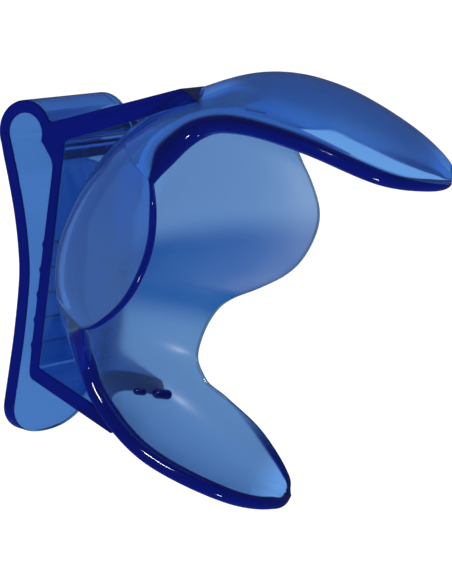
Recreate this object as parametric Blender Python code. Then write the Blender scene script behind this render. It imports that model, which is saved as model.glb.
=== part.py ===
"""Cheek retractor with a strap clip, moulded in clear blue polycarbonate.

Two mouldings make it. The shell hooks the corner of the mouth: a bowl (cheek_cup) with a thin
lip in front (corner_lip) and two arched wings that hold the lips open. The bracket carries it:
a flat back plate, two arms that meet the shell's outer face, and a strap that is bent over at
the top and comes back down as a spring leg, so a flat band can be clipped between leg and plate.

Lengths below are in millimetres. The bracket is one profile in the X-Z plane, pushed along +Y.
The origin is on the gripping face of the back plate, at the front edge. The shell has a frame of
its own (X towards the teeth, Y into the mouth, Z up) in which it is symmetric about Z = 0.
"""

import math

import bmesh
import bpy
import numpy as np
from mathutils import Matrix

MM = 0.001
GAP = 0.3  # between pieces that touch

# Bracket
WIDTH = 22.0  # of the whole extrusion, along Y
PLATE = 2.0
PLATE_LOW, PLATE_HIGH = -15.5, 17.0
BEND_CENTRE = (-6.0, 21.4)
BEND_OUTER, BEND_INNER = 5.3, 3.2
BEND_END = 196.0  # degrees round the bend's centre, from +X
LEG_START = 209.0  # leaves room for the leg's travel
LEG_THICKNESS = 2.2
LEG_ROUTE = (  # of the leg's outer face, from the bend down to its rounded end
    (-10.35, 17.9),
    (-8.3, 12.9),
    (-6.4, 7.7),
    (-4.9, 2.3),
    (-4.1, -2.6),
    (-3.9, -11.0),
    (-4.1, -17.8),
    (-4.3, -23.0),
)
LEG_END_ANGLES = (15, 30, 45, 60, 72, 82)
LEG_END_LENGTH = 6.3
LEG_END_ROUNDNESS = 2.15  # exponent of the superellipse that closes the leg
RIB_HEIGHTS = (4.3, 0.1, -4.1, -8.3, -12.5)
RIB_WIDTH, RIB_PROUD = 1.1, 0.4
ARM_THICKNESS = 2.7
UPPER_ARM_ROOT = (-1.3, 24.0)
UPPER_ARM_ANGLE, UPPER_ARM_LENGTH = 22.9, 26.0
UPPER_ARM_BEVEL = 2.6  # the inner face runs on past the outer face by this much
LOWER_ARM_ROOT = (0.7, -18.2)
LOWER_ARM_ANGLE, LOWER_ARM_LENGTH = -16.5, 17.5
LOWER_ARM_BEVEL = 0.0

# Shell
SHELL_ORIGIN = (20.7, -9.2, 8.1)
SHELL_TILT, SHELL_YAW = 20.5, 48.3
SHEET = 1.4
RIM = 3.0  # greatest thickness of the rolled rim along the front of each wing
RIM_REACH = 0.07  # how far the rim's thickening reaches, as a share of the section
NOTCH = 1.0  # station of the corner between the lip's scallop and the wing's rim
TIP = 5.0
FOLD = 0.33  # share of the section at which the lip turns into the bowl
CUTTER_DEPTH = 7.0
STATION_GAP, SHARE_GAP = 0.025, 0.004  # both leave about 0.3 mm between pieces of the shell
LOCK_TAB_WIDTH, LOCK_TAB_HEIGHT = 1.3, 0.8
LOWER_LOCK_TAB = ((-2.67, 0.63), (-2.81, 0.835))  # (station, share of the section) of its two ends
UPPER_LOCK_TAB = ((1.79, 0.81), (1.95, 0.87))

# Half of the shell, from the middle (station 0) to a wing's tip. Each station is a section that
# runs from the front rim to the back edge as a cubic Bezier curve.
#  station, front rim,        first handle,       second handle,      back edge
STATIONS = (
    (0.0, (2.8, -5.6, 0), (-18.2, 9, 0), (1.5, 34, 0), (40.2, 28, 0)),
    (0.5, (2.1, -4.4, 7.2), (-15.8, 9.5, 7), (1.8, 33.5, 7.5), (38.3, 28, 7)),
    (0.75, (0.9, -2.9, 11), (-12, 10.3, 10.3), (1.8, 33, 11), (35.3, 28.2, 10.6)),
    (1.0, (0, 0, 13.5), (-8, 11, 13.4), (2.4, 32, 14.2), (32.1, 28.2, 13.6)),
    (1.5, (2.2, 3.3, 17.6), (-3, 12, 19), (5.8, 30.5, 20.2), (28.7, 25.2, 17.2)),
    (2.0, (5.2, 4.8, 21.9), (1.3, 11, 23.5), (10.2, 28, 25.7), (27.2, 20, 21.6)),
    (2.5, (8.2, 2, 25.3), (6, 7.5, 27.2), (16.5, 25.5, 33.8), (29.2, 17.6, 24.4)),
    (3.3, (17.4, -5.7, 29.1), (16, -3, 31.5), (28, 19, 39.6), (33.5, 14.3, 25.6)),
    (4.0, (30.3, -10, 29.8), (30.5, -8.5, 33), (38.7, 10.5, 37.8), (39.3, 8.6, 26.9)),
    (4.6, (39, -7.6, 30.3), (39.6, -6.6, 32.4), (43.4, 2.5, 33.6), (43.2, 1.8, 29)),
    (4.9, (42.2, -5, 30.4), (42.5, -4.7, 31.3), (44, -0.8, 31.4), (43.8, -0.9, 29.9)),
    (5.0, (43.1, -3.4, 30.3), (43.2, -3.4, 30.5), (43.6, -2.6, 30.5), (43.5, -2.5, 30.3)),
)


# ---------------------------------------------------------------- materials and objects


def plastic(name, colour, roughness):
    material = bpy.data.materials.new(name)
    material.use_nodes = True
    shader = material.node_tree.nodes["Principled BSDF"]
    shader.inputs["Base Color"].default_value = (*colour, 1)
    shader.inputs["Roughness"].default_value = roughness
    shader.inputs["Metallic"].default_value = 0
    shader.inputs["IOR"].default_value = 1.58
    shader.inputs["Transmission Weight"].default_value = 0.6
    return material


def clear_scene():
    for obj in list(bpy.data.objects):
        bpy.data.objects.remove(obj, do_unlink=True)


def add_object(name, vertices, faces, material, parent=None):
    """A mesh object from points in millimetres; its faces are turned outwards."""
    mesh = bpy.data.meshes.new(name)
    mesh.from_pydata([tuple(float(c) * MM for c in v) for v in vertices], [], faces)
    shape = bmesh.new()
    shape.from_mesh(mesh)
    bmesh.ops.recalc_face_normals(shape, faces=shape.faces)
    shape.to_mesh(mesh)
    shape.free()
    mesh.materials.append(material)
    obj = bpy.data.objects.new(name, mesh)
    bpy.context.collection.objects.link(obj)
    obj.parent = parent
    mesh.shade_smooth()
    mesh.set_sharp_from_angle(angle=math.radians(35))
    return obj


def helper(obj):
    obj.hide_render = True
    obj.display_type = "WIRE"
    return obj


def boolean(obj, cutter, operation):
    modifier = obj.modifiers.new(cutter.name, "BOOLEAN")
    modifier.operation = operation
    modifier.object = cutter


def prism(name, outline, material):
    """An outline of (x, z) points pushed along Y over the bracket's width."""
    count = len(outline)
    vertices = [(x, y, z) for y in (0, WIDTH) for x, z in outline]
    faces = [tuple(range(count)), tuple(range(2 * count - 1, count - 1, -1))]
    faces += [(i, i + count, (i + 1) % count + count, (i + 1) % count) for i in range(count)]
    return add_object(name, vertices, faces, material)


def arc(centre, radius, start, end, steps):
    angles = np.radians(np.linspace(start, end, steps + 1))
    return [(centre[0] + radius * math.cos(a), centre[1] + radius * math.sin(a)) for a in angles]


# ---------------------------------------------------------------- curves


def spline(points, knots, at):
    """A smooth curve through points at the given knots, read at each value of at."""
    points = np.asarray(points, float)
    knots = np.asarray(knots, float)
    step = np.diff(knots)[:, None]
    slope = np.diff(points, axis=0) / step
    tangent = np.zeros_like(points)
    tangent[1:-1] = (slope[:-1] * step[1:] + slope[1:] * step[:-1]) / (step[1:] + step[:-1])
    tangent[0] = 1.5 * slope[0] - 0.5 * tangent[1]
    tangent[-1] = 1.5 * slope[-1] - 0.5 * tangent[-2]
    at = np.clip(np.asarray(at, float), knots[0], knots[-1])
    i = np.clip(np.searchsorted(knots, at, side="right") - 1, 0, len(knots) - 2)
    h = step[i]
    u = ((at - knots[i]) / h[:, 0])[:, None]
    return (
        (2 * u**3 - 3 * u**2 + 1) * points[i]
        + (u**3 - 2 * u**2 + u) * h * tangent[i]
        + (3 * u**2 - 2 * u**3) * points[i + 1]
        + (u**3 - u**2) * h * tangent[i + 1]
    )


def mirrored_curve(column, at):
    """One of the four control curves over the whole shell, from the lower tip to the upper."""
    half = np.array([station[column] for station in STATIONS], float)
    knots = np.array([station[0] for station in STATIONS])
    points = np.concatenate([half[:0:-1] * (1, 1, -1), half])
    knots = np.concatenate([-knots[:0:-1], knots])
    if column > 1:
        return spline(points, knots, at)
    # The front rim has a corner at each notch, so it is three curves.
    result = np.zeros((len(at), 3))
    for low, high in ((-TIP, -NOTCH), (NOTCH, TIP), (-NOTCH, NOTCH)):
        chosen = (knots >= low) & (knots <= high)
        wanted = (at >= low) & (at <= high)
        if wanted.any():
            result[wanted] = spline(points[chosen], knots[chosen], at[wanted])
    return result


def middle_surface(stations, shares):
    """The middle of the shell's sheet as a grid of points, and the unit normals that face out."""
    front, first, second, back = (mirrored_curve(column, stations)[:, None] for column in range(1, 5))
    v = shares[None, :, None]
    grid = (1 - v) ** 3 * front + 3 * v * (1 - v) ** 2 * first + 3 * v**2 * (1 - v) * second + v**3 * back
    normal = np.cross(np.gradient(grid, axis=0), np.gradient(grid, axis=1))
    normal /= np.linalg.norm(normal, axis=2, keepdims=True)
    return grid, normal


# ---------------------------------------------------------------- shell


def half_thickness(stations, shares):
    """Half of the sheet's thickness: a rolled rim runs along the front of the wings."""
    rolled = np.exp(-((shares / RIM_REACH) ** 2))[None, :]
    toward_tip = np.clip((np.abs(stations) - 3.0) / 1.7, 0, 1)
    on_wing = (np.abs(stations) > NOTCH) * (1 - 0.6 * toward_tip**2 * (3 - 2 * toward_tip))
    on_wing = on_wing[:, None]
    return SHEET / 2 + (RIM - SHEET) / 2 * rolled * on_wing


def shell_piece(name, stations, shares, material, parent, outside=0.0, inside=0.0):
    """A closed piece of the shell between two stations and two shares of the section."""
    grid, normal = middle_surface(stations, shares)
    half = half_thickness(stations, shares)[:, :, None]
    outer = grid + normal * (half + outside)
    inner = grid - normal * (half + inside)
    rings = np.concatenate([outer, inner[:, ::-1]], axis=1)
    rows, length = rings.shape[:2]
    faces = [tuple(range(length)), tuple((rows - 1) * length + i for i in range(length))]
    for row in range(rows - 1):
        for i in range(length):
            j = (i + 1) % length
            a, b = row * length, (row + 1) * length
            faces.append((a + i, a + j, b + j, b + i))
    return add_object(name, rings.reshape(-1, 3), faces, material, parent)


def rounded_ends(low, high, count, tight):
    """Values from low to high that crowd together towards high, where a wing's tip turns."""
    share = np.linspace(0, 1, count)
    return low + (high - low) * (1 - (1 - share) ** tight)


def lock_tab(name, ends, material, parent):
    """A round-ended bar on the bowl's face, where a tongue of the bracket's arm comes through."""
    points, inward = [], []
    for station, share in ends:
        near = np.array([station - 0.01, station, station + 0.01])
        grid, normal = middle_surface(near, np.array([share - 0.01, share, share + 0.01]))
        points.append(grid[1, 1])
        inward.append(-normal[1, 1])
    up = (inward[0] + inward[1]) / 2
    along = points[1] - points[0]
    length = float(np.linalg.norm(along))
    along /= length
    up -= along * float(up @ along)
    up /= np.linalg.norm(up)
    across = np.cross(up, along)
    radius = LOCK_TAB_WIDTH / 2
    outline = arc((length - radius, 0), radius, -90, 90, 6) + arc((radius, 0), radius, 90, 270, 6)
    foot = SHEET / 2 + GAP
    vertices = []
    for height in (foot, foot + LOCK_TAB_HEIGHT):
        vertices += [points[0] + along * x + across * y + up * height for x, y in outline]
    count = len(outline)
    faces = [tuple(range(count)), tuple(range(2 * count - 1, count - 1, -1))]
    faces += [(i, i + count, (i + 1) % count + count, (i + 1) % count) for i in range(count)]
    add_object(name, vertices, faces, material, parent)


def build_shell(clear, frame):
    middle = np.linspace(-NOTCH + STATION_GAP, NOTCH - STATION_GAP, 17)
    shell_piece("cheek_cup", middle, np.linspace(FOLD + SHARE_GAP, 1, 15), clear, frame)
    shell_piece("corner_lip", middle, np.linspace(0, FOLD - SHARE_GAP, 7), clear, frame)
    wing = rounded_ends(NOTCH + STATION_GAP, TIP, 26, 1.4)
    across = np.concatenate([[0, 0.03, 0.07], np.linspace(0.13, 1, 13)])
    shell_piece("upper_lip_wing", wing, across, clear, frame)
    shell_piece("lower_lip_wing", -wing, across, clear, frame)
    lock_tab("lower_lock_tab", LOWER_LOCK_TAB, clear, frame)
    lock_tab("upper_lock_tab", UPPER_LOCK_TAB, clear, frame)
    # The space that the arms must stay out of: the sheet, a gap outside it, and depth inside it.
    reach = np.linspace(-3.6, 3.6, 49)
    cutter = shell_piece("shell_clearance", reach, np.linspace(0, 1, 15), clear, frame, GAP, CUTTER_DEPTH)
    return helper(cutter)


# ---------------------------------------------------------------- bracket


def build_back_plate(clear):
    top = PLATE_HIGH - GAP
    outline = [(0, PLATE_LOW), (PLATE, PLATE_LOW), (PLATE, top), (0, top)]
    for height in RIB_HEIGHTS:
        foot, crown = RIB_WIDTH / 2, RIB_WIDTH / 5
        outline += [(0, height + foot), (-RIB_PROUD, height + crown)]
        outline += [(-RIB_PROUD, height - crown), (0, height - foot)]
    prism("back_plate", outline, clear)


def build_clip_bend(clear):
    """The strap's half turn, with the corner where it runs into the plate and the upper arm."""
    outline = arc(BEND_CENTRE, BEND_OUTER, 28, BEND_END, 22)
    outline += arc(BEND_CENTRE, BEND_INNER, BEND_END, -14, 20)
    outline += [(-1.5, 19.2), (-0.1, 17.6), (0, PLATE_HIGH), (PLATE, PLATE_HIGH), (PLATE, 21.6)]
    prism("clip_bend", outline, clear)


def direction(angle):
    return np.array([math.cos(math.radians(angle)), math.sin(math.radians(angle))])


def arm_outline(root, angle, length, bevel, start):
    """A straight bar whose outer face leaves root at an angle; start holds the points at its foot."""
    along = direction(angle)
    inward = np.array([along[1], -along[0]]) * math.copysign(ARM_THICKNESS, angle)
    end = root + along * length
    return [tuple(end), tuple(end + inward + along * bevel), *start, tuple(root)]


def build_arms(clear, clearance):
    root = np.array(UPPER_ARM_ROOT) + direction(UPPER_ARM_ANGLE) * (GAP + 0.1)
    corner = [(PLATE + 0.35, 21.9)]
    upper = arm_outline(root, UPPER_ARM_ANGLE, UPPER_ARM_LENGTH, UPPER_ARM_BEVEL, corner)
    boolean(prism("upper_arm", upper, clear), clearance, "DIFFERENCE")
    top = PLATE_LOW - GAP
    corner = [(PLATE, top), (0, top), (0, -17.3)]
    root = np.array(LOWER_ARM_ROOT)
    lower = arm_outline(root, LOWER_ARM_ANGLE, LOWER_ARM_LENGTH, LOWER_ARM_BEVEL, corner)
    boolean(prism("lower_arm", lower, clear), clearance, "DIFFERENCE")


def leg_section(point, tangent, half_width):
    """The four corners of the leg's strip where its outer face passes through point."""
    inward = np.array([-tangent[1], tangent[0]])
    inner = np.array(point) + inward * LEG_THICKNESS
    low, high = WIDTH / 2 - half_width, WIDTH / 2 + half_width
    return [
        (point[0], low, point[1]),
        (point[0], high, point[1]),
        (inner[0], high, inner[1]),
        (inner[0], low, inner[1]),
    ]


def build_clip_leg(clear, pivot):
    """The spring leg: a strip that nears the plate, then ends in a rounded thumb tab."""
    knots = np.arange(len(LEG_ROUTE))
    at = np.linspace(0, len(LEG_ROUTE) - 1, 22)
    route = spline(LEG_ROUTE, knots, at)
    tangents = np.gradient(route, axis=0)
    tangents /= np.linalg.norm(tangents, axis=1, keepdims=True)
    outer, inner = (np.array(BEND_CENTRE) + direction(LEG_START) * r for r in (BEND_OUTER, BEND_INNER))
    rings = [[(x, y, z) for (x, z), y in ((outer, 0), (outer, WIDTH), (inner, WIDTH), (inner, 0))]]
    rings += [leg_section(p, t, WIDTH / 2) for p, t in zip(route[1:], tangents[1:])]
    last, heading = route[-1], tangents[-1]
    power = 2 / LEG_END_ROUNDNESS
    for angle in np.radians(LEG_END_ANGLES):
        forward = LEG_END_LENGTH * math.sin(angle) ** power
        half_width = WIDTH / 2 * math.cos(angle) ** power
        rings.append(leg_section(last + heading * forward, heading, half_width))
    faces = [(0, 1, 2, 3), tuple(4 * len(rings) - 1 - i for i in range(4))]
    for row in range(0, 4 * len(rings) - 4, 4):
        for i in range(4):
            j = (i + 1) % 4
            faces.append((row + i, row + j, row + 4 + j, row + 4 + i))
    centre = np.array([BEND_CENTRE[0], 0, BEND_CENTRE[1]])
    vertices = [tuple(np.array(v) - centre) for ring in rings for v in ring]
    add_object("clip_leg", vertices, faces, clear, pivot)


def empty(name, matrix):
    obj = bpy.data.objects.new(name, None)
    bpy.context.collection.objects.link(obj)
    obj.matrix_world = matrix
    return obj


def main():
    clear_scene()
    clear = plastic("clear_blue", (0.035, 0.14, 0.42), 0.12)
    place = Matrix.Translation([c * MM for c in SHELL_ORIGIN])
    tilt = Matrix.Rotation(math.radians(SHELL_TILT), 4, "Y")
    yaw = Matrix.Rotation(math.radians(SHELL_YAW), 4, "Z")
    frame = empty("shell_frame", place @ tilt @ yaw)
    pivot = empty("clip_flex_axis", Matrix.Translation((BEND_CENTRE[0] * MM, 0, BEND_CENTRE[1] * MM)))
    clearance = build_shell(clear, frame)
    build_back_plate(clear)
    build_clip_bend(clear)
    build_clip_leg(clear, pivot)
    build_arms(clear, clearance)


main()
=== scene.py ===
import math

import bmesh
import bpy
import numpy as np
from mathutils import Matrix, Vector


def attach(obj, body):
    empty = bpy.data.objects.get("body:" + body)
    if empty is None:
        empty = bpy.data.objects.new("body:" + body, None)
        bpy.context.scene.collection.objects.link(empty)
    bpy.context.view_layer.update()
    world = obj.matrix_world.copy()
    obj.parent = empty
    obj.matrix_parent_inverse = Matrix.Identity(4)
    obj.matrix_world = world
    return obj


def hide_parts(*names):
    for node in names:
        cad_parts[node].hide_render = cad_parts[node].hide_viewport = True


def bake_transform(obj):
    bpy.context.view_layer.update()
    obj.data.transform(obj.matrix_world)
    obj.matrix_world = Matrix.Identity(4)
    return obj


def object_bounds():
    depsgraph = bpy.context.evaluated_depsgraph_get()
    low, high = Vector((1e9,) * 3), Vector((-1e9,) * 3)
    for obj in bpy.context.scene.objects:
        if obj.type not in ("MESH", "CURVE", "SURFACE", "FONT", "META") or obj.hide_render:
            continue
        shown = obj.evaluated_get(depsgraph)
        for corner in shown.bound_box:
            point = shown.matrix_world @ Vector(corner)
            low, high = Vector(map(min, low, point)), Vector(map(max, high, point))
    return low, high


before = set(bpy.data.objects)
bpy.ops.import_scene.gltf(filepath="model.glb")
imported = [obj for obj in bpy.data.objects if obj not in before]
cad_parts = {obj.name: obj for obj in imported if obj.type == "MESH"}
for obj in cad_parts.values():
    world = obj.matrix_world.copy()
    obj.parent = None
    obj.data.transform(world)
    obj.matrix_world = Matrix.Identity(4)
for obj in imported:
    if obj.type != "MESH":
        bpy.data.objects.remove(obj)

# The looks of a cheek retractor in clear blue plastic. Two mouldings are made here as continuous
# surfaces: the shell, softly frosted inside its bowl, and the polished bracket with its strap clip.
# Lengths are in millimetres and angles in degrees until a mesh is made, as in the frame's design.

cad_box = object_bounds()

MM = 0.001

# Bracket, in the X-Z plane, pushed along +Y
WIDTH = 22.0
PLATE = 2.0
BEND_TO_PLATE = ((-2.2, 20.1), (-1.3, 19.1), (-0.5, 18.2), (-0.08, 17.2), (0, 16.0))
PLATE_TO_ARM = ((0, -16.6), (0.15, -17.6))
BEND_CENTRE = (-6.0, 21.4)
BEND_OUTER, BEND_INNER = 5.3, 3.2
LEG_START = 209.0
LEG_THICKNESS = 2.2
LEG_ROUTE = (  # of the leg's outer face, from the bend down to where its end gets rounded
    (-10.35, 17.9),
    (-8.3, 12.9),
    (-6.4, 7.7),
    (-4.9, 2.3),
    (-4.1, -2.6),
    (-3.9, -11.0),
    (-4.1, -17.8),
    (-4.3, -23.0),
)
LEG_END_LENGTH = 6.3
LEG_END_ROUNDNESS = 2.15
RIB_HEIGHTS = (4.3, 0.1, -4.1, -8.3, -12.5)
RIB_PROUD, RIB_ROOT = 0.35, 0.35  # how far a rib stands out, and its centre inside the plate
RIB_ARC = (130, 230)
ARM_THICKNESS = 2.7
UPPER_ARM_ROOT = (-1.3, 24.0)
UPPER_ARM_ANGLE, UPPER_ARM_LENGTH, UPPER_ARM_BEVEL = 22.9, 26.0, 2.6
LOWER_ARM_ROOT = (0.7, -18.2)
LOWER_ARM_ANGLE, LOWER_ARM_LENGTH = -16.5, 17.5
INNER_CORNERS = (  # where the plate's inner face turns into the lower and the upper arm
    (PLATE + 0.25, -16.05),
    (PLATE, -15.7),
    (PLATE, 21.4),
    (PLATE + 0.2, 21.85),
)
EDGE_ROUNDING = 0.35
ARM_GAP = 0.12  # between an arm's end and the shell
CUT_REACH, CUT_DEPTH = 3.6, 7.0  # how far along and inside the shell the arms are cut away

# Shell, in a frame of its own in which it is symmetric about Z = 0
SHELL_ORIGIN = (20.7, -9.2, 8.1)
SHELL_TILT, SHELL_YAW = 20.5, 48.3
SHEET = 1.4
RIM = 3.0
RIM_REACH = 0.07
NOTCH = 1.0
TIP = 5.0
TIP_RADIUS = 0.2
TIP_SHRINK = 0.08  # of the last section, where the tip is closed
THIN_EDGE_START = 0.86  # share of the section beyond which the back edge gets thinner
BACK_EDGE = 0.5  # how deep the painted navy shade is along the bowl's back edge, against 1 on the rims
LIP_DEPTH = 0.14  # how deep the painted navy shade is in the clear sheet of the corner lip
LOWER_LOCK = ((-2.67, 0.63), (-2.81, 0.835))  # (station, share of the section) of its two ends
UPPER_LOCK = ((1.79, 0.81), (1.95, 0.87))
LOWER_BARS = ((0, 0.34, 0.6), (0.5, 1, 0.85))  # (start, end, radius) of each bar between those ends
UPPER_BARS = ((0, 1, 0.3),)
BAR_PROUD = 0.35  # how far a bar's middle stands off the sheet

#  station, front rim,        first handle,       second handle,      back edge
STATIONS = (
    (0.0, (2.8, -5.6, 0), (-18.2, 9, 0), (1.5, 34, 0), (40.2, 28, 0)),
    (0.5, (2.1, -4.4, 7.2), (-15.8, 9.5, 7), (1.8, 33.5, 7.5), (38.3, 28, 7)),
    (0.75, (0.9, -2.9, 11), (-12, 10.3, 10.3), (1.8, 33, 11), (35.3, 28.2, 10.6)),
    (1.0, (0, 0, 13.5), (-8, 11, 13.4), (2.4, 32, 14.2), (32.1, 28.2, 13.6)),
    (1.5, (2.2, 3.3, 17.6), (-3, 12, 19), (5.8, 30.5, 20.2), (28.7, 25.2, 17.2)),
    (2.0, (5.2, 4.8, 21.9), (1.3, 11, 23.5), (10.2, 28, 25.7), (27.2, 20, 21.6)),
    (2.5, (8.2, 2, 25.3), (6, 7.5, 27.2), (16.5, 25.5, 33.8), (29.2, 17.6, 24.4)),
    (3.3, (17.4, -5.7, 29.1), (16, -3, 31.5), (28, 19, 39.6), (33.5, 14.3, 25.6)),
    (4.0, (30.3, -10, 29.8), (30.5, -8.5, 33), (38.7, 10.5, 37.8), (39.3, 8.6, 26.9)),
    (4.6, (39, -7.6, 30.3), (39.6, -6.6, 32.4), (43.4, 2.5, 33.6), (43.2, 1.8, 29)),
    (4.9, (42.2, -5, 30.4), (42.5, -4.7, 31.3), (44, -0.8, 31.4), (43.8, -0.9, 29.9)),
    (5.0, (43.1, -3.4, 30.3), (43.2, -3.4, 30.5), (43.6, -2.6, 30.5), (43.5, -2.5, 30.3)),
)

# Plastic: a little of the light that meets a sheet is scattered by its pigment and the rest goes
# through. Absorption per metre is the density x (1 - DEPTH_TINT), so that long paths turn navy.
SHELL_TINT = (0.25, 0.54, 0.9)
BRACKET_TINT = (0.1, 0.27, 0.6)
FROST_TINT = (0.19, 0.38, 0.64)
FROST_PAINTED_SHADE = (0.02, 0.15, 0.45)  # painted shade: the darker colour of the patchy band of shade painted into the frosting
# painted shade: navy and a lower clearness for rims and sheets seen end on, standing in for the dark
# of long light paths
NAVY_SHADE_TINT = (0.001, 0.012, 0.3)
SHEET_CLEARNESS, FROST_CLEARNESS, EDGE_CLEARNESS = 0.88, 0.82, 0.3
SHELL_DENSITY, BRACKET_DENSITY = 360, 170
POLISH = 0.05  # roughness where the plastic is clear
SHELL_FROSTING, BRACKET_FROSTING = 0.31, 0.3  # roughness where it is frosted
RIPPLE, RIPPLE_HEIGHT, RIPPLE_SCALE = 0.05, 0.4, 90
# painted shade: noise that makes the band of shade in the frosting patchy
SHADE_NOISE_SCALE, SHADE_NOISE_LOW, SHADE_NOISE_HIGH = 60, 0.5, 1.4
DEPTH_TINT = (0.1, 0.42, 0.9)
REFRACTION = 1.58

# Camera
AIM = (25.6, 16.1, 0.3)
DISTANCE = 483.9
YAW, ELEVATION, ROLL = 32.0, 12.5, 7.3
LENS, SENSOR = 184.9, 36.0

FLOOR_DROP, FLOOR_REACH = 0.30, 6.0
BACKGROUND, GLOSS_BACKGROUND = 1.1, 0.06

# Lights: metres right of, above and before the aim, the side of the square and the power in watts
KEY_PLACE, KEY_SIZE, KEY_POWER = (0.08, 0.22, 0.85), 0.09, 1.2
FILL_PLACE, FILL_SIZE, FILL_POWER = (0.05, -0.23, 0.175), 0.03, 0.06
BOUNCES = 24  # a ray crosses up to eight faces of clear plastic before it leaves


# ---------------------------------------------------------------- materials


def link(tree, source, target):
    tree.links.new(source, target)


def ranged(tree, source, low, high):
    """A number that is low where source is 0 and high where it is 1."""
    node = tree.nodes.new("ShaderNodeMapRange")
    node.inputs["To Min"].default_value = low
    node.inputs["To Max"].default_value = high
    link(tree, source, node.inputs["Value"])
    return node.outputs["Result"]


def mixed(tree, factor, first, second):
    """A colour between first and second, each of them a colour or a socket."""
    node = tree.nodes.new("ShaderNodeMix")
    node.data_type = "RGBA"
    link(tree, factor, node.inputs["Factor"])
    for key, value in (("A", first), ("B", second)):
        socket = next(i for i in node.inputs if i.name == key and i.type == "RGBA")
        if isinstance(value, tuple):
            socket.default_value = (*value, 1)
        else:
            link(tree, value, socket)
    return next(o for o in node.outputs if o.type == "RGBA")


def calculated(tree, operation, first, second):
    """A Math node of two sockets, or of a socket and a number."""
    node = tree.nodes.new("ShaderNodeMath")
    node.operation = operation
    link(tree, first, node.inputs[0])
    if isinstance(second, float):
        node.inputs[1].default_value = second
    else:
        link(tree, second, node.inputs[1])
    return node.outputs["Value"]


def noise(tree, scale, detail):
    place = tree.nodes.new("ShaderNodeTexCoord")
    waves = tree.nodes.new("ShaderNodeTexNoise")
    waves.inputs["Scale"].default_value = scale
    waves.inputs["Detail"].default_value = detail
    link(tree, place.outputs["Object"], waves.inputs["Vector"])
    return waves.outputs["Fac"]


def painted(tree, name):
    """An attribute of the mesh, 0 where the mesh doesn't have it."""
    node = tree.nodes.new("ShaderNodeAttribute")
    node.attribute_name = name
    return node.outputs["Fac"]


def plastic(name, sheet_tint, frosted_roughness, density):
    """Clear blue plastic. Three attributes of the mesh, from 0 to 1, change it: frost dulls the
    polish, a painted shade attribute darkens the frosting in patches, and edge paints the navy shade
    of a rim or of a sheet seen end on, where less light goes through."""
    material = bpy.data.materials.new(name)
    material.use_nodes = True
    tree = material.node_tree
    shader = tree.nodes["Principled BSDF"]
    shader.inputs["IOR"].default_value = REFRACTION
    frost, edge, painted_shade = (painted(tree, key) for key in ("frost", "edge", "painted_shade"))

    # painted shade: a patchy darker band in the frosting
    uneven = ranged(tree, noise(tree, SHADE_NOISE_SCALE, 1), SHADE_NOISE_LOW, SHADE_NOISE_HIGH)
    patchy_shade = calculated(tree, "MULTIPLY", painted_shade, uneven)
    field = mixed(tree, frost, sheet_tint, mixed(tree, patchy_shade, FROST_TINT, FROST_PAINTED_SHADE))
    # painted shade: navy mixed over the sheet's colour on rims and sheets seen end on
    link(tree, mixed(tree, edge, field, NAVY_SHADE_TINT), shader.inputs["Base Color"])

    link(tree, ranged(tree, frost, POLISH, frosted_roughness), shader.inputs["Roughness"])
    field_clearness = ranged(tree, frost, SHEET_CLEARNESS, FROST_CLEARNESS)
    # less light goes through where the navy shade is painted
    clearness = calculated(tree, "MULTIPLY", field_clearness, ranged(tree, edge, 1, EDGE_CLEARNESS))
    link(tree, clearness, shader.inputs["Transmission Weight"])

    bump = tree.nodes.new("ShaderNodeBump")
    bump.inputs["Strength"].default_value = RIPPLE
    bump.inputs["Distance"].default_value = RIPPLE_HEIGHT * MM
    link(tree, noise(tree, RIPPLE_SCALE, 2), bump.inputs["Height"])
    link(tree, bump.outputs["Normal"], shader.inputs["Normal"])

    volume = tree.nodes.new("ShaderNodeVolumeAbsorption")
    volume.inputs["Color"].default_value = (*DEPTH_TINT, 1)
    volume.inputs["Density"].default_value = density
    link(tree, volume.outputs["Volume"], tree.nodes["Material Output"].inputs["Volume"])
    return material


# ---------------------------------------------------------------- curves and meshes


def direction(angle):
    return np.array([math.cos(math.radians(angle)), math.sin(math.radians(angle))])


def arc(centre, radius, start, end, steps):
    angles = np.linspace(start, end, steps + 1)
    return [tuple(np.array(centre) + direction(a) * radius) for a in angles]


def spline(points, knots, at):
    """A smooth curve through points at the given knots, read at each value of at."""
    points = np.asarray(points, float)
    knots = np.asarray(knots, float)
    step = np.diff(knots)[:, None]
    slope = np.diff(points, axis=0) / step
    tangent = np.zeros_like(points)
    tangent[1:-1] = (slope[:-1] * step[1:] + slope[1:] * step[:-1]) / (step[1:] + step[:-1])
    tangent[0] = 1.5 * slope[0] - 0.5 * tangent[1]
    tangent[-1] = 1.5 * slope[-1] - 0.5 * tangent[-2]
    at = np.clip(np.asarray(at, float), knots[0], knots[-1])
    i = np.clip(np.searchsorted(knots, at, side="right") - 1, 0, len(knots) - 2)
    h = step[i]
    u = ((at - knots[i]) / h[:, 0])[:, None]
    return (
        (2 * u**3 - 3 * u**2 + 1) * points[i]
        + (u**3 - 2 * u**2 + u) * h * tangent[i]
        + (3 * u**2 - 2 * u**3) * points[i + 1]
        + (u**3 - u**2) * h * tangent[i + 1]
    )


def smoothstep(low, high, value):
    t = np.clip((value - low) / (high - low), 0, 1)
    return t * t * (3 - 2 * t)


def add_object(name, vertices, faces, material, matrix=None):
    """A mesh object from points in millimetres, with its faces turned outwards."""
    mesh = bpy.data.meshes.new(name)
    mesh.from_pydata([tuple(float(c) * MM for c in v) for v in vertices], [], faces)
    if matrix is not None:
        mesh.transform(matrix)
    shape = bmesh.new()
    shape.from_mesh(mesh)
    bmesh.ops.recalc_face_normals(shape, faces=shape.faces)
    shape.to_mesh(mesh)
    shape.free()
    mesh.materials.append(material)
    obj = bpy.data.objects.new(name, mesh)
    bpy.context.collection.objects.link(obj)
    return obj


def smooth(obj, angle=35):
    obj.data.shade_smooth()
    obj.data.set_sharp_from_angle(angle=math.radians(angle))


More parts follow.
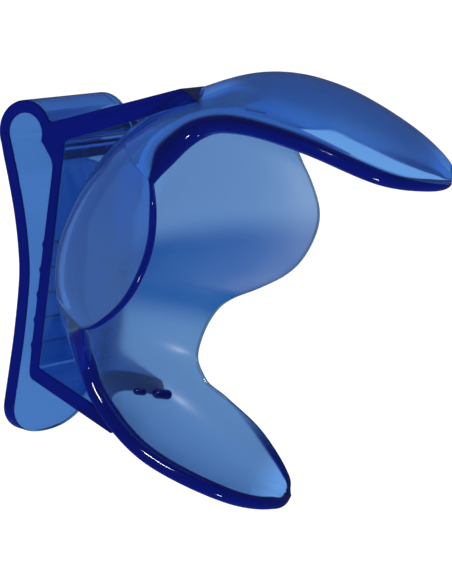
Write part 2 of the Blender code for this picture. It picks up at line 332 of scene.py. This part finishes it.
def modify(obj, kind, **settings):
    """Adds a modifier and applies it, so the mesh is final."""
    modifier = obj.modifiers.new(kind.lower(), kind)
    for key, value in settings.items():
        setattr(modifier, key, value)
    graph = bpy.context.evaluated_depsgraph_get()
    mesh = bpy.data.meshes.new_from_object(obj.evaluated_get(graph))
    obj.modifiers.clear()
    obj.data = mesh


# ---------------------------------------------------------------- shell


def mirrored_curve(column, at):
    """One of the four control curves over the whole shell, from the lower tip to the upper."""
    half = np.array([station[column] for station in STATIONS], float)
    knots = np.array([station[0] for station in STATIONS])
    points = np.concatenate([half[:0:-1] * (1, 1, -1), half])
    knots = np.concatenate([-knots[:0:-1], knots])
    if column > 1:
        return spline(points, knots, at)
    # The front rim has a corner at each notch, so it is three curves.
    result = np.zeros((len(at), 3))
    for low, high in ((-TIP, -NOTCH), (NOTCH, TIP), (-NOTCH, NOTCH)):
        chosen = (knots >= low) & (knots <= high)
        wanted = (at >= low) & (at <= high)
        if wanted.any():
            result[wanted] = spline(points[chosen], knots[chosen], at[wanted])
    return result


def unit(vectors):
    return vectors / np.maximum(np.linalg.norm(vectors, axis=-1, keepdims=True), 1e-9)


def middle_surface(stations, shares):
    """The middle of the shell's sheet as a grid of points, and the unit normals that face out."""
    front, first, second, back = (mirrored_curve(c, stations)[:, None] for c in range(1, 5))
    v = shares[None, :, None]
    grid = (1 - v) ** 3 * front + 3 * v * (1 - v) ** 2 * first
    grid = grid + 3 * v**2 * (1 - v) * second + v**3 * back
    normal = np.cross(np.gradient(grid, axis=0), np.gradient(grid, axis=1))
    return grid, unit(normal)


def half_thickness(stations, shares):
    """Half of the sheet's thickness, with the rolled rim of the wings and thinner tips."""
    rolled = np.exp(-((shares / RIM_REACH) ** 2))[None, :]
    s = np.abs(stations)[:, None]
    on_wing = smoothstep(NOTCH - 0.05, NOTCH + 0.5, s) * (1 - 0.5 * smoothstep(3.0, 4.7, s))
    near_tip = 1 - 0.4 * smoothstep(TIP - 0.35, TIP, s)
    thin_edge = 1 - 0.4 * smoothstep(THIN_EDGE_START, 1, shares)[None, :]
    return (SHEET / 2 + (RIM - SHEET) / 2 * rolled * on_wing) * near_tip * thin_edge


def shell_matrix():
    place = Matrix.Translation([c * MM for c in SHELL_ORIGIN])
    tilt = Matrix.Rotation(math.radians(SHELL_TILT), 4, "Y")
    yaw = Matrix.Rotation(math.radians(SHELL_YAW), 4, "Z")
    return place @ tilt @ yaw


def station_values():
    """Stations from tip to tip, close together at the tips and on both sides of each notch."""
    lip = NOTCH * np.sin(np.linspace(-math.pi / 2, math.pi / 2, 41))
    share = np.linspace(0, 1, 81)[1:]
    wing = NOTCH + (TIP - NOTCH) * (1 - (1 - share) ** 1.5)
    return np.concatenate([-wing[::-1], lip, wing])


def shell_rings(stations, shares, outside=0.0, inside=0.0, round_steps=8):
    """Closed sections of the sheet: out along one face, round the back edge and home again.
    outside and inside thicken the sheet. Without round steps the edges are square."""
    grid, normal = middle_surface(stations, shares)
    half = half_thickness(stations, shares)[:, :, None]
    outer = grid + normal * (half + outside)
    inner = grid - normal * (half + inside)
    if not round_steps:
        return np.concatenate([outer, inner[:, ::-1]], axis=1)
    angles = np.linspace(math.pi / 2, -math.pi / 2, round_steps + 1)[1:-1]
    edges = []
    for column, beyond in ((-1, grid[:, -1] - grid[:, -2]), (0, grid[:, 0] - grid[:, 1])):
        across = normal[:, column]
        beyond = unit(beyond - across * np.sum(beyond * across, axis=1, keepdims=True))
        radius = half[:, column]
        points = [
            grid[:, column] + radius * (across * math.sin(a) + beyond * math.cos(a)) for a in angles
        ]
        edges.append(np.stack(points, axis=1))
    return np.concatenate([outer, edges[0], inner[:, ::-1], edges[1][:, ::-1]], axis=1)


def tip_rings(ring, previous, radius, steps=5):
    """Rings that round off the last section towards its centre."""
    centre = ring.mean(axis=0)
    ahead = centre - previous.mean(axis=0)
    ahead = ahead / np.linalg.norm(ahead) * radius
    angles = np.linspace(0, math.pi / 2, steps + 1)[1:]
    return [
        centre + (ring - centre) * max(math.cos(a), TIP_SHRINK) + ahead * math.sin(a) for a in angles
    ]


def skin(rings):
    """Faces between closed rings of equal length, with a cap on each end."""
    rows, length = len(rings), len(rings[0])
    faces = [tuple(range(length)), tuple((rows - 1) * length + i for i in range(length))]
    for row in range(rows - 1):
        a, b = row * length, (row + 1) * length
        faces += [(a + i, a + (i + 1) % length, b + (i + 1) % length, b + i) for i in range(length)]
    return faces


def frosting(stations, shares):
    """How frosted the sheet is: deep in the bowl and in the wings' inner fields, not near the lip."""
    s = np.abs(stations)[:, None]
    v = shares[None, :]
    start = 0.6 - 0.38 * smoothstep(1.6, 3.0, s)
    field = smoothstep(start, start + 0.13, v) * (1 - smoothstep(TIP - 0.9, TIP - 0.3, s))
    upper = 1 - 0.3 * smoothstep(1.0, 2.0, stations)[:, None]
    return field * upper


def painted_shade_band(stations, shares):
    """Painted shade: a broad darker band across the lower half of the bowl."""
    s = stations[:, None]
    v = shares[None, :]
    below = smoothstep(-1.8, -1.3, s)
    above = 1 - smoothstep(-0.45, 0.1, s - 3 * (v - 0.85))
    return below * above * smoothstep(0.6, 0.75, v)


def painted_navy_shade(stations, shares):
    """Painted navy shade: 1 on the rolled rims of the wings and along the sheet's edges, fading out
    into the sheet, and a little over the corner lip.
    """
    s = np.abs(stations)[:, None]
    v = shares[None, :]
    on_wing = smoothstep(NOTCH - 0.05, NOTCH + 0.45, s)
    reach = 0.006 + RIM_REACH * on_wing * (1 - 0.3 * smoothstep(3.2, 4.6, s))
    front = 1 - smoothstep(0.7, 1.2, v / reach)
    tip_side = smoothstep(3.3, 4.4, s)
    back = tip_side * smoothstep(1 - 0.05 * tip_side, 1 - 0.025 * tip_side, v)
    lip = LIP_DEPTH * (1 - smoothstep(0.6, 1.2, s)) * (1 - smoothstep(0.5, 0.7, v))
    return np.maximum(np.maximum(front, back), lip)


def build_shell(material):
    stations = station_values()
    shares = 0.5 - 0.5 * np.cos(np.linspace(0, math.pi, 57))
    rings = shell_rings(stations, shares)
    rows = list(rings)
    first = tip_rings(rows[0], rows[1], TIP_RADIUS)
    last = tip_rings(rows[-1], rows[-2], TIP_RADIUS)
    rows = first[::-1] + rows + last
    points = np.concatenate(rows)
    shell = add_object("retractor_shell", points, skin(rows), material, shell_matrix())
    round_points = (rings.shape[1] - 2 * len(shares)) // 2
    ones = np.ones((len(stations), round_points))
    # painted shade: navy along the rims and edges of the sheet
    edge_field = painted_navy_shade(stations, shares)
    back_edge = np.maximum(BACK_EDGE, edge_field[:, -1:])
    paint = {
        "frost": (frosting(stations, shares), 0 * ones, 0 * ones),
        "edge": (edge_field, back_edge * ones, ones),
        # painted shade: a darker band across the bowl
        "painted_shade": (painted_shade_band(stations, shares), 0 * ones, 0 * ones),
    }
    for name, (field, back, front) in paint.items():
        values = np.concatenate([field, back, field[:, ::-1], front], axis=1)
        values = np.concatenate([values[:1]] * len(first) + [values] + [values[-1:]] * len(last))
        attribute = shell.data.attributes.new(name, "FLOAT", "POINT")
        attribute.data.foreach_set("value", values.reshape(-1).astype(np.float32))
    smooth(shell, 60)
    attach(shell, "root")
    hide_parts("cheek_cup", "corner_lip", "upper_lip_wing", "lower_lip_wing")
    return shell


def shell_clearance(material):
    """A solid that fills the sheet, a gap outside it and a depth inside it, to cut the arms with."""
    stations = np.linspace(-CUT_REACH, CUT_REACH, 73)
    rings = shell_rings(stations, np.linspace(0, 1, 25), ARM_GAP, CUT_DEPTH, round_steps=0)
    points = rings.reshape(-1, 3)
    return add_object("shell_clearance", points, skin(rings), material, shell_matrix())


def capsule(start, end, radius, around=16, steps=5):
    """Rings of a round-ended bar from start to end."""
    axis = unit(end - start)
    side = unit(np.cross(axis, (0.3, 0.5, 0.8)))
    third = np.cross(axis, side)
    turn = np.linspace(0, 2 * math.pi, around, endpoint=False)
    circle = np.outer(np.cos(turn), side) + np.outer(np.sin(turn), third)
    rings = []
    for pole, sign in ((start, -1), (end, 1)):
        tilt = np.radians(np.linspace(88, 0, steps + 1))
        cap = [
            pole + axis * sign * radius * math.sin(t) + circle * radius * math.cos(t) for t in tilt
        ]
        rings += cap if sign < 0 else cap[::-1]
    return rings


def build_lock_bars(name, ends, pieces, material):
    """The visible ends of the bracket's tongue, as bars that lie on the bowl's face, with painted
    navy shade all over.
    """
    points = []
    for station, share in ends:
        near = np.array([station - 0.01, station, station + 0.01])
        grid, normal = middle_surface(near, np.array([share - 0.01, share, share + 0.01]))
        points.append(grid[1, 1] - normal[1, 1] * (SHEET / 2 + BAR_PROUD))
    start, end = points
    vertices, faces = [], []
    for low, high, radius in pieces:
        first, last = start + (end - start) * low, start + (end - start) * high
        inset = unit(end - start) * radius
        rings = capsule(first + inset, last - inset, radius)
        faces += [tuple(i + len(vertices) for i in face) for face in skin(rings)]
        vertices += [tuple(v) for ring in rings for v in ring]
    bars = add_object(name + "_bars", vertices, faces, material, shell_matrix())
    # painted shade: navy all over the bars
    attribute = bars.data.attributes.new("edge", "FLOAT", "POINT")
    attribute.data.foreach_set("value", np.ones(len(vertices), np.float32))
    smooth(bars, 60)
    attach(bars, "root")
    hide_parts(name)


# ---------------------------------------------------------------- bracket


def leg_faces():
    """The leg's outer face and inner face, from the bend down to the thumb tab's end."""
    knots = np.arange(len(LEG_ROUTE))
    route = spline(LEG_ROUTE, knots, np.linspace(0, len(LEG_ROUTE) - 1, 60))
    heading = unit(np.gradient(route, axis=0))
    route = np.concatenate([route, [route[-1] + heading[-1] * LEG_END_LENGTH]])
    heading = np.concatenate([heading, heading[-1:]])
    inward = np.stack([-heading[:, 1], heading[:, 0]], axis=1)
    start = np.array(BEND_CENTRE) + direction(LEG_START) * BEND_OUTER
    inner_start = np.array(BEND_CENTRE) + direction(LEG_START) * BEND_INNER
    outer = np.concatenate([[start], route[2:]])
    inner = np.concatenate([[inner_start], (route + inward * LEG_THICKNESS)[2:]])
    return [tuple(p) for p in outer], [tuple(p) for p in inner]


def arm_end(root, angle, length, bevel):
    along = direction(angle)
    inward = np.array([along[1], -along[0]]) * math.copysign(ARM_THICKNESS, angle)
    end = np.array(root) + along * length
    return tuple(end), tuple(end + inward + along * bevel)


def rib_outline():
    points = []
    for height in RIB_HEIGHTS:
        points += arc((RIB_ROOT, height), RIB_PROUD + RIB_ROOT, *RIB_ARC, 6)
    return points


def bracket_outline():
    """Round the whole strip: upper arm, bend, leg, back up the leg, plate and lower arm."""
    upper_end, upper_inner_end = arm_end(
        UPPER_ARM_ROOT, UPPER_ARM_ANGLE, UPPER_ARM_LENGTH, UPPER_ARM_BEVEL
    )
    lower_end, lower_inner_end = arm_end(LOWER_ARM_ROOT, LOWER_ARM_ANGLE, LOWER_ARM_LENGTH, 0)
    outer, inner = leg_faces()
    outline = [upper_end]
    outline += arc(BEND_CENTRE, BEND_OUTER, 30, LEG_START - 3, 44)
    outline += outer
    outline += inner[::-1]
    outline += arc(BEND_CENTRE, BEND_INNER, LEG_START - 4, -14, 44)
    outline += BEND_TO_PLATE
    outline += rib_outline()
    outline += PLATE_TO_ARM
    outline += [LOWER_ARM_ROOT, lower_end, lower_inner_end]
    outline += INNER_CORNERS
    outline += [upper_inner_end]
    return outline


def extruded(name, low, high, material):
    """A solid between two faces with the same number of points."""
    count = len(low)
    faces = [tuple(range(count)), tuple(range(2 * count - 1, count - 1, -1))]
    faces += [(i, i + count, (i + 1) % count + count, (i + 1) % count) for i in range(count)]
    return add_object(name, low + high, faces, material)


def leg_end_cutter(material):
    """What lies outside the thumb tab's rounded end, as a block along X."""
    power = 2 / LEG_END_ROUNDNESS
    start = LEG_ROUTE[-1][1]
    middle = WIDTH / 2
    rounded = []
    for angle in np.radians(np.linspace(0, 180, 49)):
        side = math.copysign(abs(math.cos(angle)) ** power, math.cos(angle))
        rounded.append((middle - middle * side, start - LEG_END_LENGTH * math.sin(angle) ** power))
    beyond, step = 2, 0.02  # past the strip's sides, and off the tab's shoulders
    outline = [(-beyond, start + step), (0, start - step)]
    outline += rounded[1:-1]
    outline += [(WIDTH, start - step), (WIDTH + beyond, start + step)]
    outline += [(WIDTH + beyond, start - 12), (-beyond, start - 12)]
    faces = [[(x, y, z) for y, z in outline] for x in (-9, -0.8)]
    return extruded("leg_end_cutter", *faces, material)


def paint_end_on_shade(bracket):
    """Painted navy shade, as the edge attribute, on the faces that look forwards, where the strip is
    seen end on.
    """
    normals = np.zeros(len(bracket.data.polygons) * 3)
    bracket.data.polygons.foreach_get("normal", normals)
    forwards = normals[1::3] < -0.3
    attribute = bracket.data.attributes.new("edge", "FLOAT", "FACE")
    attribute.data.foreach_set("value", forwards.astype(np.float32))


def build_bracket(material):
    sides = [[(x, y, z) for x, z in bracket_outline()] for y in (0, WIDTH)]
    bracket = extruded("bracket_with_clip", *sides, material)
    cutter = leg_end_cutter(material)
    modify(bracket, "BOOLEAN", operation="DIFFERENCE", object=cutter)
    bpy.data.objects.remove(cutter, do_unlink=True)
    modify(
        bracket,
        "BEVEL",
        width=EDGE_ROUNDING * MM,
        segments=3,
        limit_method="ANGLE",
        angle_limit=math.radians(40),
        use_clamp_overlap=False,
    )
    cutter = shell_clearance(material)
    modify(bracket, "BOOLEAN", operation="DIFFERENCE", object=cutter)
    bpy.data.objects.remove(cutter, do_unlink=True)
    smooth(bracket, 30)
    modify(bracket, "WEIGHTED_NORMAL", keep_sharp=True)
    paint_end_on_shade(bracket)
    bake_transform(bracket)
    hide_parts("back_plate", "clip_bend", "clip_leg", "upper_arm", "lower_arm")
    return bracket


# ---------------------------------------------------------------- stage, light and camera


def dimmer_in_gloss(tree, full, dim):
    """A strength that is full, but dim where the outside of the plastic mirrors it, as a dark room
    would be. What is mirrored behind a clear sheet stays bright."""
    path = tree.nodes.new("ShaderNodeLightPath")
    outside = calculated(tree, "LESS_THAN", path.outputs["Transmission Depth"], 0.5)
    mirrored = calculated(tree, "MULTIPLY", path.outputs["Is Reflection Ray"], outside)
    return ranged(tree, mirrored, full, dim)


def build_floor():
    """A pale floor that is lit from below, as a light table is, so that it casts no shadow."""
    low = cad_box[0][2] - FLOOR_DROP
    signs = ((-1, -1), (1, -1), (1, 1), (-1, 1))
    corners = [(x * FLOOR_REACH, y * FLOOR_REACH, low) for x, y in signs]
    mesh = bpy.data.meshes.new("floor")
    mesh.from_pydata(corners, [], [(0, 1, 2, 3)])
    material = bpy.data.materials.new("light_table")
    material.use_nodes = True
    tree = material.node_tree
    tree.nodes.remove(tree.nodes["Principled BSDF"])
    glow = tree.nodes.new("ShaderNodeEmission")
    glow.inputs["Color"].default_value = (1, 1, 1, 1)
    link(tree, dimmer_in_gloss(tree, BACKGROUND, GLOSS_BACKGROUND), glow.inputs["Strength"])
    link(tree, glow.outputs["Emission"], tree.nodes["Material Output"].inputs["Surface"])
    mesh.materials.append(material)
    floor = bpy.data.objects.new("floor", mesh)
    bpy.context.collection.objects.link(floor)


def camera_axes():
    yaw, elevation, roll = (math.radians(a) for a in (YAW, ELEVATION, ROLL))
    flat = math.cos(elevation)
    back = Vector((math.sin(yaw) * flat, -math.cos(yaw) * flat, math.sin(elevation)))
    level = Vector((math.cos(yaw), math.sin(yaw), 0))
    upright = back.cross(level)
    right = math.cos(roll) * level + math.sin(roll) * upright
    up = math.cos(roll) * upright - math.sin(roll) * level
    return right, up, back


def build_camera():
    right, up, back = camera_axes()
    data = bpy.data.cameras.new("camera")
    data.lens = LENS
    data.sensor_width = SENSOR
    camera = bpy.data.objects.new("camera", data)
    bpy.context.collection.objects.link(camera)
    eye = Vector(AIM) * MM + back * DISTANCE * MM
    matrix = Matrix((right, up, back)).transposed().to_4x4()
    matrix.translation = eye
    camera.matrix_world = matrix
    bpy.context.scene.camera = camera


def area_light(name, offset, size, power):
    """A square light at an offset to the right, up and back, turned towards the object."""
    right, up, back = camera_axes()
    centre = Vector(AIM) * MM
    place = centre + back * offset[2] + up * offset[1] + right * offset[0]
    data = bpy.data.lights.new(name, "AREA")
    data.shape = "SQUARE"
    data.size = size
    data.energy = power
    light = bpy.data.objects.new(name, data)
    light.visible_camera = False
    bpy.context.collection.objects.link(light)
    light.location = place
    light.rotation_euler = (centre - place).to_track_quat("-Z", "Y").to_euler()


def build_light():
    world = bpy.data.worlds.new("white_studio")
    bpy.context.scene.world = world
    world.use_nodes = True
    tree = world.node_tree
    background = tree.nodes["Background"]
    background.inputs["Color"].default_value = (1, 1, 1, 1)
    link(tree, dimmer_in_gloss(tree, BACKGROUND, GLOSS_BACKGROUND), background.inputs["Strength"])
    area_light("key", KEY_PLACE, KEY_SIZE, KEY_POWER)
    area_light("low_fill", FILL_PLACE, FILL_SIZE, FILL_POWER)
    scene = bpy.context.scene
    scene.view_settings.view_transform = "Standard"
    scene.cycles.max_bounces = BOUNCES
    scene.cycles.transmission_bounces = BOUNCES


def main():
    bpy.context.scene.unit_settings.scale_length = 1.0
    shell_blue = plastic("shell_blue", SHELL_TINT, SHELL_FROSTING, SHELL_DENSITY)
    bracket_blue = plastic("bracket_blue", BRACKET_TINT, BRACKET_FROSTING, BRACKET_DENSITY)
    build_camera()
    build_shell(shell_blue)
    build_bracket(bracket_blue)
    build_lock_bars("lower_lock_tab", LOWER_LOCK, LOWER_BARS, bracket_blue)
    build_lock_bars("upper_lock_tab", UPPER_LOCK, UPPER_BARS, bracket_blue)
    build_floor()
    build_light()


main()
